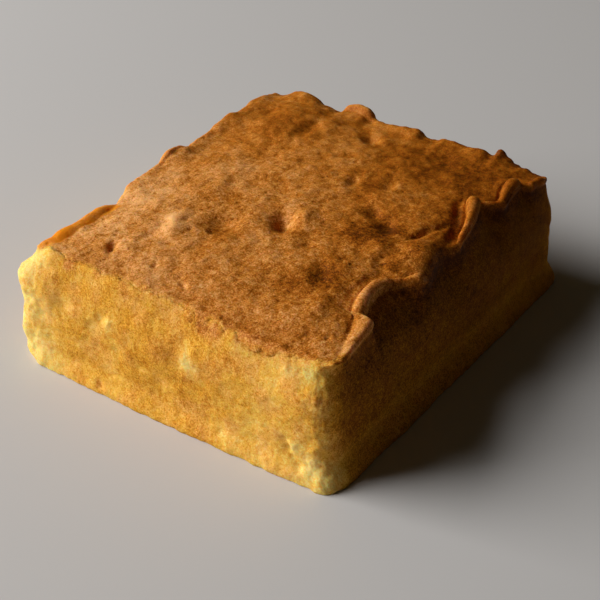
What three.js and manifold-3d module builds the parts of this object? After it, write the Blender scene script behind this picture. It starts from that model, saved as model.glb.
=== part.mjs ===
// An oblong butter cake turned out of its tin, in millimetres, +Z up. The origin is the middle
// of the flat underside. -Y is the plain front, whose crust ends in a soft edge. Round the other
// three sides the crust ends in a raised lip, which the tin's paper lining has left in folds.
import * as THREE from "three";
import { mergeVertices } from "three/addons/utils/BufferGeometryUtils.js";
import Module from "manifold-3d";

// Driving dimensions.
const baseWidth = 176; // along X, at the foot
const baseLength = 207; // along Y, at the foot
const rimHeight = 58; // the foot to the plain edge of the crust
const domeRise = 5; // how far the crust swells above the rim in the middle

// A side stands out at its foot, is straight from there to the shoulder, then leans in.
const footHeight = 12;
const shoulderHeight = 40;

// The upright corners are worn round, and some are worn away underneath too.
const tuckHeight = 9;
const corners = [
  { x: 1, y: -1, radius: 12, tuck: 1.5 },
  { x: -1, y: -1, radius: 5, tuck: 6 },
  { x: -1, y: 1, radius: 5, tuck: 2 },
  { x: 1, y: 1, radius: 8, tuck: 0 },
];

// The rolled lip of crust that follows the rim, and the trough behind it.
const lipCrest = 1.6; // from the edge to the crest
const lipWidth = 2.4;
const lipRise = 1.2;
const troughCentre = 8; // from the edge to the bottom of the trough
const troughWidth = 4.5;
const troughDepth = 1.6;
const foldBlend = 38; // how far into the crust a fold pushes

// A fold's lift raises a broad bank of crust, sharpens the lip and deepens the trough.
const bankWidth = 11;
const bankShare = 0.6;
const lipShare = 0.4;
const troughShare = 0.2;

// The mesh: how many quads each way, and how they crowd towards the edges.
const widthSegments = 48;
const lengthSegments = 56;
const heightSegments = 9;
const edgeCrowding = 1.5;
const rimCrowding = 1.7;
const trimDepth = 2; // the underside is cast this much too deep, then cut flat
const trimFade = 8; // the power with which that extra depth dies out up the sides

const halfWidth = baseWidth / 2;
const halfLength = baseLength / 2;

// Folds along a side, by their place on it: where each starts, is deepest and ends, how far
// it pushes the rim inwards (below zero is a bulge), how far down the side that reaches, and
// how far it lifts the rim.
const rightFolds = [
  { start: -100, peak: -80, end: -60, depth: 0, reach: 10, lift: 2 },
  { start: -64, peak: -49, end: -24, depth: 15, reach: 30, lift: 5.5 },
  { start: -26, peak: -10, end: 10, depth: -1.5, reach: 20, lift: -3 },
  { start: 4, peak: 42, end: 54, depth: 14, reach: 32, lift: 6 },
  { start: 52, peak: 72, end: 82, depth: 10, reach: 28, lift: 4.5 },
];
const leftFolds = [
  { start: -124, peak: -98, end: -50, depth: 11, reach: 17, lift: 3.5 },
  { start: -54, peak: -40, end: -29, depth: 5, reach: 12, lift: -1.5 },
  { start: -34, peak: -5, end: 20, depth: -2, reach: 20, lift: 4 },
  { start: 15, peak: 25, end: 38, depth: 2, reach: 15, lift: 1 },
  { start: 30, peak: 74, end: 118, depth: -2, reach: 25, lift: 5.5 },
];
const backFolds = [
  { start: -100, peak: -68, end: -48, depth: -2, reach: 20, lift: 7 },
  { start: -48, peak: -35, end: -20, depth: -3, reach: 18, lift: 7 },
  { start: -22, peak: -4, end: 12, depth: 0, reach: 15, lift: 4 },
  { start: 10, peak: 27, end: 48, depth: -1, reach: 20, lift: 5 },
  { start: 46, peak: 53, end: 60, depth: 0, reach: 12, lift: 6 },
];
const frontFolds = [
  { start: -92, peak: -84, end: -66, depth: -2, reach: 20, lift: 0.5 },
  { start: -30, peak: 6, end: 34, depth: 1, reach: 20, lift: 0.5 },
  { start: 30, peak: 52, end: 74, depth: -0.5, reach: 20, lift: -1 },
];

// Mounds (rise above zero) and dimples in the crust, each an oval turned by its angle.
const crustMarks = [
  { x: -58, y: 74, rx: 26, ry: 24, turn: 0, rise: 4.5 },
  { x: 3, y: -24, rx: 6, ry: 8, turn: -30, rise: -4 },
  { x: 12, y: -14, rx: 9, ry: 8, turn: 0, rise: 1.6 },
  { x: -50, y: -78, rx: 5, ry: 6, turn: -20, rise: -2.2 },
  { x: -25, y: -34, rx: 10, ry: 8, turn: 0, rise: -1.2 },
  { x: -38, y: -48, rx: 11, ry: 9, turn: 0, rise: 1.4 },
  { x: 45, y: 2, rx: 14, ry: 6, turn: -50, rise: -1.8 },
  { x: 38, y: -38, rx: 8, ry: 8, turn: 0, rise: -1.2 },
  { x: -11, y: 72, rx: 7, ry: 6, turn: 0, rise: -3 },
  { x: -42, y: 62, rx: 7, ry: 12, turn: 0, rise: -1.6 },
  { x: 61, y: 6, rx: 4.5, ry: 13, turn: -18, rise: -2.6 },
  { x: 70, y: -9, rx: 8, ry: 15, turn: 8, rise: 3 },
];

const clamp01 = (t) => Math.min(Math.max(t, 0), 1);

const smooth = (t) => clamp01(t) ** 2 * (3 - 2 * clamp01(t));

const bell = (t) => Math.exp(-t * t);

// 0 at a fold's ends, 1 at its peak.
function foldShare(fold, at) {
  return at < fold.peak
    ? smooth((at - fold.start) / (fold.peak - fold.start))
    : smooth((fold.end - at) / (fold.end - fold.peak));
}

// How far a side's folds lift its rim, and push a point that lies below the rim inwards.
function foldLift(folds, at) {
  return folds.reduce((sum, fold) => sum + fold.lift * foldShare(fold, at), 0);
}

function foldPush(folds, at, below) {
  const push = (fold) => fold.depth * foldShare(fold, at) * smooth(1 - below / fold.reach);
  return folds.reduce((sum, fold) => sum + push(fold), 0);
}

// The corner in whose quarter of the plan a point lies.
function nearestCorner(x, y) {
  return corners.find((corner) => corner.x * x >= 0 && corner.y * y >= 0);
}

// Turns the square corners of the plan into round ones, ring by ring.
function roundPlan(x, y) {
  const { radius } = nearestCorner(x, y);
  const dx = Math.abs(x) - (halfWidth - radius);
  const dy = Math.abs(y) - (halfLength - radius);
  if (dx <= 0 || dy <= 0) return [x, y];
  const reach = Math.max(dx, dy);
  const share = (Math.min(dx, dy) / reach) * (Math.PI / 4);
  const angle = dx > dy ? share : Math.PI / 2 - share;
  return [
    Math.sign(x) * (halfWidth - radius + reach * Math.cos(angle)),
    Math.sign(y) * (halfLength - radius + reach * Math.sin(angle)),
  ];
}

// The four sides: the inward direction, how far each leans in above its foot and above its
// shoulder, whether a lip runs along it, its folds, and where a point lies from it and along it.
const sides = [
  {
    inwards: [-1, 0], footLean: 4.5, topLean: 5.5, lip: 1, folds: rightFolds,
    gap: (x) => halfWidth - x, along: (x, y) => y,
  },
  {
    inwards: [1, 0], footLean: -1.5, topLean: 4, lip: 1, folds: leftFolds,
    gap: (x) => halfWidth + x, along: (x, y) => y,
  },
  {
    inwards: [0, -1], footLean: 5, topLean: 4, lip: 1, folds: backFolds,
    gap: (x, y) => halfLength - y, along: (x) => x,
  },
  {
    inwards: [0, 1], footLean: 4, topLean: 6, lip: 0, folds: frontFolds,
    gap: (x, y) => halfLength + y, along: (x) => x,
  },
];

// How far a side leans in at a height above the foot.
function lean(side, height) {
  const shoulder = (height - shoulderHeight) / (rimHeight - shoulderHeight);
  return side.footLean * smooth(height / footHeight) + side.topLean * smooth(shoulder);
}

// How much is worn away under a corner, which fades with height and with distance from it.
function cornerTuck(x, y, z) {
  const corner = nearestCorner(x, y);
  const away = Math.hypot(halfWidth - Math.abs(x), halfLength - Math.abs(y));
  return corner.tuck * (1 - smooth(z / tuckHeight)) * bell(away / (2 * corner.radius));
}

// The crust's height over a point of the plan.
function crustHeight(x, y) {
  const u = x / halfWidth;
  const v = y / halfLength;
  let height = rimHeight + domeRise * (1 - u ** 4) * (1 - v ** 4);
  for (const side of sides) {
    const gap = side.gap(x, y);
    const lift = foldLift(side.folds, side.along(x, y));
    height += bankShare * lift * bell(gap / bankWidth);
    height += (lipRise * side.lip + lipShare * lift) * bell((gap - lipCrest) / lipWidth);
    height -= (troughDepth * side.lip + troughShare * lift) * bell((gap - troughCentre) / troughWidth);
  }
  for (const mark of crustMarks) {
    const turn = THREE.MathUtils.degToRad(mark.turn);
    const dx = x - mark.x;
    const dy = y - mark.y;
    const across = (dx * Math.cos(turn) + dy * Math.sin(turn)) / mark.rx;
    const along = (dy * Math.cos(turn) - dx * Math.sin(turn)) / mark.ry;
    height += mark.rise * bell(Math.hypot(across, along));
  }
  return height;
}

const crowd = (t, power) => Math.sign(t) * (1 - (1 - Math.abs(t)) ** power);

// Moves a point of the unit box, x and y from -1 to 1 and z from 0 to 1, onto the cake.
function placeOnCake(point) {
  const [x, y] = roundPlan(
    crowd(point.x, edgeCrowding) * halfWidth,
    crowd(point.y, edgeCrowding) * halfLength,
  );
  const share = crowd(point.z, rimCrowding);
  const top = crustHeight(x, y);
  const z = share * top;
  let shiftX = 0;
  let shiftY = 0;
  for (const side of sides) {
    const hold = 1 - smooth(side.gap(x, y) / foldBlend);
    const push = foldPush(side.folds, side.along(x, y), top - z);
    const inset = lean(side, z) + push + cornerTuck(x, y, z);
    shiftX += side.inwards[0] * inset * hold;
    shiftY += side.inwards[1] * inset * hold;
  }
  point.set(x + shiftX, y + shiftY, z - trimDepth * (1 - share) ** trimFade);
}

// A closed three.js geometry as a manifold-3d solid.
function toSolid(wasm, geometry) {
  const bare = geometry.clone();
  bare.deleteAttribute("normal");
  bare.deleteAttribute("uv");
  const merged = mergeVertices(bare, 1e-4);
  return new wasm.Manifold(
    new wasm.Mesh({
      numProp: 3,
      vertProperties: merged.getAttribute("position").array,
      triVerts: new Uint32Array(merged.index.array),
    }),
  );
}

function toGeometry(solid) {
  const mesh = solid.getMesh();
  const geometry = new THREE.BufferGeometry();
  geometry.setAttribute("position", new THREE.BufferAttribute(mesh.vertProperties, mesh.numProp));
  geometry.setIndex(new THREE.BufferAttribute(mesh.triVerts, 1));
  geometry.computeVertexNormals();
  return geometry;
}

function cakeGeometry(wasm) {
  const box = new THREE.BoxGeometry(2, 2, 1, widthSegments, lengthSegments, heightSegments);
  box.translate(0, 0, 0.5);
  const places = box.getAttribute("position");
  const point = new THREE.Vector3();
  for (let i = 0; i < places.count; i++) {
    placeOnCake(point.fromBufferAttribute(places, i));
    places.setXYZ(i, point.x, point.y, point.z);
  }
  const room = new THREE.BoxGeometry(2 * baseWidth, 2 * baseLength, 2 * rimHeight);
  room.translate(0, 0, rimHeight);
  return toGeometry(toSolid(wasm, box).intersect(toSolid(wasm, room)));
}

const wasm = await Module();
wasm.setup();

const crustBrown = new THREE.MeshStandardMaterial({
  color: new THREE.Color(0.72, 0.46, 0.2),
  roughness: 0.85,
  metalness: 0,
});

const cake = new THREE.Mesh(cakeGeometry(wasm), crustBrown);
cake.name = "butter_cake";

const group = new THREE.Group();
group.add(cake);

export default group;
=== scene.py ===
import math
from functools import lru_cache

import bmesh
import bpy
from mathutils import Matrix, Vector, noise


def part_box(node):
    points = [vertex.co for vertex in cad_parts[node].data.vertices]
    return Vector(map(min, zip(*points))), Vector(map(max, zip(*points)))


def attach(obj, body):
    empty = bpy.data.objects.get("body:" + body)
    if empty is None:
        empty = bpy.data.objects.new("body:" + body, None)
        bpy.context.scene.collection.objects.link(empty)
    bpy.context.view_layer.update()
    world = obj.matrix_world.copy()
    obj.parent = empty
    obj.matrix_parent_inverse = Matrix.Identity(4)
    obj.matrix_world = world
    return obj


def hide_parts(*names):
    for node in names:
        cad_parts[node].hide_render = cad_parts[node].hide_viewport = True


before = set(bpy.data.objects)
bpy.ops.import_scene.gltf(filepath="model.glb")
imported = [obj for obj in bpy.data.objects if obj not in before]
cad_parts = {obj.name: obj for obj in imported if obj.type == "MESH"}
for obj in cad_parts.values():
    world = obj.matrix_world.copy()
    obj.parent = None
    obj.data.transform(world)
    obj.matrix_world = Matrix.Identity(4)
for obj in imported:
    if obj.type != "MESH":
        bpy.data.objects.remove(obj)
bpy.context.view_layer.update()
print("frame loaded")

# everything about the cake is in millimetres until its mesh is scaled at the end
toMetres = 0.001
low, high = (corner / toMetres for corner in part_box("butter_cake"))
middle = (low + high) / 2
halfX = (high.x - low.x) / 2
halfY = (high.y - low.y) / 2


def smooth(t):
    t = min(max(t, 0.0), 1.0)
    return t * t * (3 - 2 * t)


bellEnd = 3.5  # past this a bell counts as nothing


def bell(t):
    return math.exp(-t * t) if abs(t) < bellEnd else 0.0


# camera, light and floor

cameraSetting = {
    "lookAt": (-4.8, 1.8, 6.5),
    "azimuth": 36.6,
    "elevation": 33.7,
    "roll": -1.65,
    "distance": 677,
    "lens": 83.2,
}


def makeCamera(setting):
    azimuth, elevation, roll = (math.radians(setting[key]) for key in ("azimuth", "elevation", "roll"))
    level = math.cos(elevation)
    back = Vector((math.sin(azimuth) * level, -math.cos(azimuth) * level, math.sin(elevation)))
    right = Matrix.Rotation(roll, 3, back) @ Vector((math.cos(azimuth), math.sin(azimuth), 0))
    up = back.cross(right)
    place = (Vector(setting["lookAt"]) + back * setting["distance"]) * toMetres
    data = bpy.data.cameras.new("camera")
    data.lens = setting["lens"]
    data.sensor_width = 36
    data.clip_start = 0.01
    camera = bpy.data.objects.new("camera", data)
    camera.matrix_world = Matrix.Translation(place) @ Matrix((right, up, back)).transposed().to_4x4()
    bpy.context.scene.collection.objects.link(camera)
    bpy.context.scene.camera = camera


makeCamera(cameraSetting)

lightSetting = {
    "windowFrom": (-0.755, -0.415, 0.51),  # the way from the cake to the soft main light
    "windowDistance": 3.0,
    "windowSize": 2.2,
    "windowPower": 131,
    "windowColour": (1.0, 0.97, 0.93),
    "room": (0.019, 0.0148, 0.0078),  # the dim warm light from all round
    "backdrop": (0.70, 0.70, 0.69),  # how pale the room looks behind the cake
}


def makeLights(setting):
    towards = Vector(setting["windowFrom"]).normalized()
    data = bpy.data.lights.new("window", "AREA")
    data.shape = "SQUARE"
    data.size = setting["windowSize"]
    data.energy = setting["windowPower"]
    data.color = setting["windowColour"]
    window = bpy.data.objects.new("window", data)
    window.location = towards * setting["windowDistance"]
    window.rotation_euler = towards.to_track_quat("Z", "Y").to_euler()
    bpy.context.scene.collection.objects.link(window)
    world = bpy.data.worlds.new("room")
    bpy.context.scene.world = world
    world.use_nodes = True
    nodes = world.node_tree.nodes
    path = nodes.new("ShaderNodeLightPath")
    colour = nodes.new("ShaderNodeMix")
    colour.data_type = "RGBA"
    colour.inputs["A"].default_value = (*setting["room"], 1)
    colour.inputs["B"].default_value = (*setting["backdrop"], 1)
    world.node_tree.links.new(path.outputs["Is Camera Ray"], colour.inputs["Factor"])
    world.node_tree.links.new(colour.outputs["Result"], nodes["Background"].inputs["Color"])


makeLights(lightSetting)

floorSetting = {"size": 6, "colour": (0.62, 0.615, 0.62), "roughness": 0.8}


def makeFloor(setting):
    bm = bmesh.new()
    bmesh.ops.create_grid(bm, x_segments=2, y_segments=2, size=setting["size"] / 2)
    mesh = bpy.data.meshes.new("floor")
    bm.to_mesh(mesh)
    bm.free()
    material = bpy.data.materials.new("palePaper")
    material.use_nodes = True
    shader = material.node_tree.nodes["Principled BSDF"]
    shader.inputs["Base Color"].default_value = (*setting["colour"], 1)
    shader.inputs["Roughness"].default_value = setting["roughness"]
    mesh.materials.append(material)
    floor = bpy.data.objects.new("floor", mesh)
    bpy.context.scene.collection.objects.link(floor)


makeFloor(floorSetting)
bpy.context.scene.view_settings.view_transform = "Standard"
print("camera, light and floor ready")


# the cake's own form

cakeShape = {
    "rimHeight": 58,
    "domeRise": 5,
    "footHeight": 12,
    "shoulderHeight": 36,
    "tuckHeight": 9,
    "bankWidth": 12,  # a lifted rim raises a broad bank of crust
    "bankEnd": 40,
    "foldBlend": 38,  # how far into the crust a fold pushes
    "foldRound": 1.5,  # how full a puffed side stays under a fold
    "markDepth": 4,  # how far down the sides the crust's marks still show
    "cornerBlend": 7,  # how gently one side turns into the next
}

# worn upright corners: how round along x and along y, and how much is gone underneath
cornerShape = {
    (1, -1): {"round": (9, 11), "tuck": 0.6},
    (-1, -1): {"round": (18, 10), "tuck": 0.5},
    (-1, 1): {"round": (5, 5), "tuck": 2},
    (1, 1): {"round": (10, 10), "tuck": 1.2},
}

# the left near corner swells out: how wide it is round the corner, which way it goes, and how far
# it goes by height
cornerSwell = {
    "reach": 13,
    "way": (-0.8, -0.6),
    "stations": [
        (0, 2.6), (4, 4.6), (8, 5.6), (12, 6.4), (18, 6.2), (24, 5.0), (30, 4.2), (36, 4.6), (40, 6.0),
        (44, 7.8), (47, 7.8), (50, 5.2), (52, 3.4), (56, 2.2), (60, 1.4),
    ],
}

# how far each side stands in from the cake's box at its foot, up its wall and at its rim, how round
# its rim is, and how puffed it stays under a fold; then how wide the crust's edge is in form and in
# colour, how proud it stands, how coarse the crumb is and how brown its skin
sideShape = {
    # the right side faces away from the light: its skin is its own golden brown, made darker as painted
    # shade
    "right": {
        "inwards": (-1, 0), "foot": 0, "wall": 4.6, "rim": 9.0, "round": 1.8, "puff": 0.8,
        "spread": 6, "fade": 11, "proud": 0.0, "coarse": 0.3, "skin": 0.74,
    },
    "left": {
        "inwards": (1, 0), "foot": 1.0, "wall": -0.8, "rim": 4, "round": 3, "puff": 0.3,
        "spread": 2, "fade": 3.5, "proud": 0.1, "coarse": 0.8, "skin": 0.32,
    },
    "back": {
        "inwards": (0, -1), "foot": 0, "wall": 4.5, "rim": 7.5, "round": 4, "puff": 0.3,
        "spread": 4, "fade": 7, "proud": 0.1, "coarse": 0.5, "skin": 0.48,
    },
    "front": {
        "inwards": (0, 1), "foot": -0.6, "wall": 3.2, "rim": 8.6, "round": 3.5, "puff": 0.3,
        "spread": 2, "fade": 5.0, "proud": 0.1, "coarse": 1, "skin": 0.36,
    },
}

# where the crust ends by places along each side: so far in from the rim, or down the side if negative
crustEnds = {
    "right": [
        (-103, 5.0), (-96, 3.0), (-91, 0.0), (-86, -3.5), (-78, -6.0), (-62, -7.0), (-55, -9.5),
        (-30, -9.0), (-18, -7.0), (10, -6.5), (50, -6.5), (80, -5.0), (95, -3.0), (103, -1.0),
    ],
    "left": [(-103, 1.0), (-90, -0.5), (-50, -0.5), (-38, 0.8), (-24, 0.6), (0, -1.0), (103, -2.0)],
    "back": [(-90, -4.0), (88, -3.5)],
    "front": [
        (-90, 3.4), (-76, 4.2), (-66, 4.2), (-62, 2.0), (-58, 1.8), (-55, 3.2), (-47, 3.2), (-40, 2.6),
        (-30, 2.6), (-24, 2.4), (-19, 1.0), (-14, 2.2), (-4, 2.3), (4, 1.6), (10, 1.8), (14, -0.2),
        (18, 0.2), (21, 2.0), (27, 1.2), (33, 2.0), (38, 0.2), (46, -0.4), (52, -0.6), (60, -0.3),
        (68, 0.6), (74, 1.6), (80, 4.0), (88, 6.0),
    ],
}

# the rim by places along each side: how far folds push it in, how much they lift it, and how far
# down the side the push still reaches
sideRims = {
    "right": [
        (-103, -3.2, 0.0, 15), (-95, -2.8, 0.0, 14), (-86, -2.2, 0.2, 14), (-76, -1.0, 0.5, 13),
        (-66, 0.2, 0.8, 12), (-59.4, 1.4, 1.0, 11), (-58.2, 8.0, 1.0, 12), (-54, 9.8, 1.2, 13),
        (-49, 11.4, 1.6, 13), (-44, 12.2, 2.0, 13), (-40, 12.8, 2.0, 13), (-36, 12.8, 1.8, 13),
        (-31, 11.4, 1.4, 14),
        (-28, 9.4, 1.0, 14), (-26, 7.4, 0.7, 15), (-23, 4.0, 0.4, 16), (-19.5, 2.4, 0.1, 18),
        (-16, 2.4, -0.2, 20), (-9, 4.0, -0.6, 24), (-2, 5.8, -0.8, 26), (4, 6.6, -1.0, 26),
        (9, 4.4, -0.6, 26), (14.5, 3.4, 0.8, 26), (18, 4.6, 1.4, 27), (23, 5.6, 1.9, 28), (29, 6.6, 2.4, 28),
        (34, 7.8, 2.7, 28), (40, 10.4, 3.0, 28), (44, 12.2, 3.0, 28), (47.6, 13.2, 2.8, 28),
        (49, 12.4, 2.4, 26), (51, 9.6, 1.8, 24), (54, 6.0, 1.2, 22), (57, 4.5, 1.0, 22),
        (60, 4.8, 1.2, 22), (64, 5.8, 1.6, 24), (69, 6.2, 2.4, 25), (73, 6.0, 2.8, 25),
        (76, 5.4, 2.6, 24), (78, 3.0, 1.8, 22), (80, 1.0, 1.2, 22), (86, 0.4, 1.4, 18),
        (92, -0.6, 1.0, 14), (98, -1.6, 0.2, 13), (103, -2.0, 0.0, 12),
    ],
    "left": [
        (-103, 0.4, -1.2, 10), (-95, 1.2, -0.6, 10), (-88, 2.6, -0.5, 12), (-80, 3.2, 0.4, 12),
        (-68, 3.6, 1.0, 12), (-61, 3.8, 0.0, 12), (-54, 3.9, 0.8, 12), (-48, 4.0, 0.0, 12),
        (-42, 4.8, 0.0, 12), (-35, 2.8, 0.4, 12), (-27, 0.0, 1.5, 14), (-18, -0.8, 2.2, 16),
        (-10, -1.0, 2.2, 18), (-3, -1.0, 1.6, 20), (5, -1.6, 4.2, 20), (12, -1.8, 4.6, 20),
        (20, -0.8, 3.1, 20), (28, -1.2, 3.7, 20), (36, -1.4, 3.6, 22), (45, -1.8, 4.8, 24),
        (54, -2.0, 5.2, 25), (62, -1.8, 3.2, 25), (70, -1.8, 4.0, 25), (76, -1.8, 4.4, 25),
        (88, -1.8, 3.6, 25), (103, -1.0, 1.6, 25),
    ],
    "back": [
        (-90, -1.0, 0.8, 20), (-84, -1.0, -0.4, 20), (-78, -1.4, 1.6, 20), (-73, -1.8, 4.1, 20),
        (-68, -2.0, 5.3, 20), (-62, -2.0, 4.4, 20), (-57, -1.6, 2.7, 20), (-52, -0.8, 0.8, 20),
        (-47, -0.8, 0.2, 18), (-42, -1.6, -0.2, 18), (-37, -2.4, 3.6, 18), (-32, -2.8, 4.2, 18),
        (-27, -2.4, 4.2, 18), (-22, -1.4, 1.6, 18), (-17, -0.6, 3.0, 18), (-12, 0.0, 2.7, 18),
        (-7, 0.0, 3.3, 18), (0, 0.0, 4.8, 18), (6, 0.0, 5.4, 18), (12, -0.4, 1.6, 18),
        (17, -0.8, 1.6, 20), (22, -1.0, 3.8, 20), (28, -1.0, 3.8, 20), (35, -0.8, 3.3, 20),
        (44, -0.2, 4.1, 20), (49, 0.0, 2.4, 16), (53, 0.0, 4.8, 14), (58, 0.0, 2.6, 14),
        (64, 0.0, 1.0, 14), (72, 0.0, 0.6, 14), (80, -0.6, -0.2, 14), (88, -0.6, -0.6, 14),
    ],
    "front": [
        (-90, 1.6, -1.4, 20), (-84, 0.8, 0.0, 20), (-72, 0.2, 1.8, 20), (-60, 0.2, 1.8, 20),
        (-45, 0.0, 1.6, 20), (-30, 0.0, 1.3, 20), (-12, 0.6, 1.2, 20), (6, 1.0, 0.6, 20),
        (22, 0.3, 0.2, 20), (40, -0.3, -0.5, 20), (56, -0.5, -0.8, 20), (70, 0.0, -0.2, 20),
        (78, 0.2, 0.6, 20), (88, 0.4, 0.0, 20),
    ],
}


def lip(stations, ramp=0.0, pale=0.0, outer=2.0, upright=0.4):
    return {"stations": stations, "ramp": ramp, "pale": pale, "outer": outer, "upright": upright}


# lips along the rims, by place: how high, how wide and how deep the crease on the inner side; a ramped
# lip climbs straight to its edge instead of rolling over, a pale one gets painted light along its crest,
# the outer width is how far it reaches down the side, and an upright one points up more than out
sideLips = {
    "right": [
        lip([
            (-97, 0.0, 2.6, 0.0), (-92, 1.1, 3.4, 0.2), (-84, 1.5, 4.2, 0.3), (-76, 1.8, 5.2, 0.4),
            (-70, 2.1, 6.4, 0.5), (-64, 2.5, 8.2, 0.6), (-60, 2.8, 10.0, 0.8), (-59.2, 2.6, 10.4, 0.8),
            (-58.8, 0.0, 10.4, 0.4),
        ], ramp=0.8, pale=0.17, outer=0.6, upright=0.7),
        lip([
            (-58.8, 0.0, 4.8, 0.3), (-58.1, 2.7, 5.0, 0.4), (-53, 3.0, 5.4, 0.4), (-44, 3.0, 5.6, 0.4),
            (-36, 2.8, 5.2, 0.3), (-31, 2.3, 3.6, 0.2), (-27, 1.8, 2.6, 0.1), (-24.5, 2.0, 3.2, 0.1),
            (-21, 2.6, 4.8, 0.1), (-17.5, 1.6, 3.6, 0.0), (-14.5, 0.0, 2.0, 0.0),
        ], pale=0.03, outer=1.5),
        lip([
            (14, 0.0, 1.4, 0.4), (16.5, 1.4, 1.8, 1.2), (20, 2.2, 2.2, 1.8), (25, 2.7, 2.7, 1.9),
            (31, 3.0, 3.6, 1.8), (37, 3.3, 5.0, 1.5), (43, 3.6, 6.4, 1.0), (46.5, 3.5, 6.4, 0.6),
            (48.4, 2.4, 5.4, 0.3), (49.6, 0.0, 4.0, 0.1),
        ], pale=0.07, outer=1.4),
        lip([
            (49.6, 0.0, 1.8, 0.2), (51, 1.6, 2.2, 0.4), (55, 2.0, 2.6, 0.6), (60, 2.6, 3.8, 0.9),
            (65, 3.1, 5.0, 0.9), (70, 3.3, 5.6, 0.6), (74, 3.0, 5.4, 0.4), (76.4, 2.0, 4.4, 0.1),
            (77.8, 0.0, 3.0, 0.0),
        ], pale=0.04, outer=1.4),
        lip([
            (80, 0.0, 1.6, 0.0), (82, 1.6, 2.8, 0.2), (86, 1.4, 3.0, 0.2), (90, 2.4, 3.4, 0.3),
            (94, 1.8, 3.0, 0.1), (99, 0.0, 2.0, 0.0),
        ], pale=0.06, outer=1.0),
    ],
    "left": [
        lip([
            (-99, 0.0, 4.0, 0.0), (-94, 1.2, 5.6, 0.0), (-88, 2.0, 7.2, 0.0), (-76, 2.5, 7.6, 0.1),
            (-70, 1.8, 6.8, 0.0), (-62, 2.7, 7.2, 0.1), (-54, 2.2, 6.0, 0.0), (-49, 2.4, 5.4, 0.0),
            (-44.5, 1.2, 4.4, 0.0), (-41.5, 0.0, 3.0, 0.0),
        ], ramp=0.7, outer=1.8),
        lip([
            (-12, 0.0, 2.0, 0.0), (-3, 1.0, 2.6, 0.1), (6, 1.6, 3.0, 0.2), (13, 1.0, 2.6, 0.1),
            (18, 0.0, 2.0, 0.0),
        ]),
    ],
    "back": [
        lip([
            (-42.5, 0.0, 4.0, 0.0), (-38.5, 2.4, 4.4, 0.3), (-31, 3.2, 5.0, 0.5), (-25, 3.6, 5.0, 0.5),
            (-21, 1.8, 4.4, 0.2), (-18, 0.0, 4.0, 0.0),
        ], pale=0.12),
        lip([
            (46, 0.0, 2.0, 0.0), (50, 1.2, 2.6, 0.0), (52.6, 3.2, 3.2, 0.2), (54.6, 2.6, 2.6, 0.1),
            (56, 1.6, 2.4, 0.0), (60, 1.4, 2.4, 0.0), (61.6, 0.6, 2.0, 0.0), (65, 1.2, 2.0, 0.0),
            (68, 0.2, 2.0, 0.0), (72, 1.0, 2.0, 0.0), (77, 0.0, 2.0, 0.0),
        ], pale=0.06),
    ],
    "front": [],
}


def between(stations, place):
    # the values at a place along a row of stations, eased without overshooting
    place = min(max(place, stations[0][0]), stations[-1][0])
    k = 0
    while k < len(stations) - 2 and place > stations[k + 1][0]:
        k += 1
    here, there = stations[k], stations[k + 1]
    width = there[0] - here[0]
    t = (place - here[0]) / width

    def slope(i, n):
        if not 0 < i < len(stations) - 1:
            return 0.0
        before = (stations[i][n] - stations[i - 1][n]) / (stations[i][0] - stations[i - 1][0])
        after = (stations[i + 1][n] - stations[i][n]) / (stations[i + 1][0] - stations[i][0])
        return 2 * before * after / (before + after) if before * after > 0 else 0.0

    values = []
    for n in range(1, len(here)):
        eased = here[n] + (there[n] - here[n]) * smooth(t)
        eased += width * (slope(k, n) * t * (1 - t) ** 2 - slope(k + 1, n) * t * t * (1 - t))
        values.append(eased)
    return values


@lru_cache(None)
def rimAt(side, place):
    return between(sideRims[side], place)


@lru_cache(None)
def lipsAt(side, place):
    found = []
    for one in sideLips[side]:
        stations = one["stations"]
        if stations[0][0] < place < stations[-1][0]:
            shape = (one[key] for key in ("ramp", "pale", "outer", "upright"))
            found.append((*between(stations, place), *shape))
    return found


@lru_cache(None)
def endAt(side, place):
    return between(crustEnds[side], place)[0]


# a round or long spot on the crust: where, how wide each way, how strong and how far turned
def mark(x, y, rx, ry, rise, turn=0.0):
    return {"x": x, "y": y, "rx": rx, "ry": ry, "rise": rise, "turn": math.radians(turn)}


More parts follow.
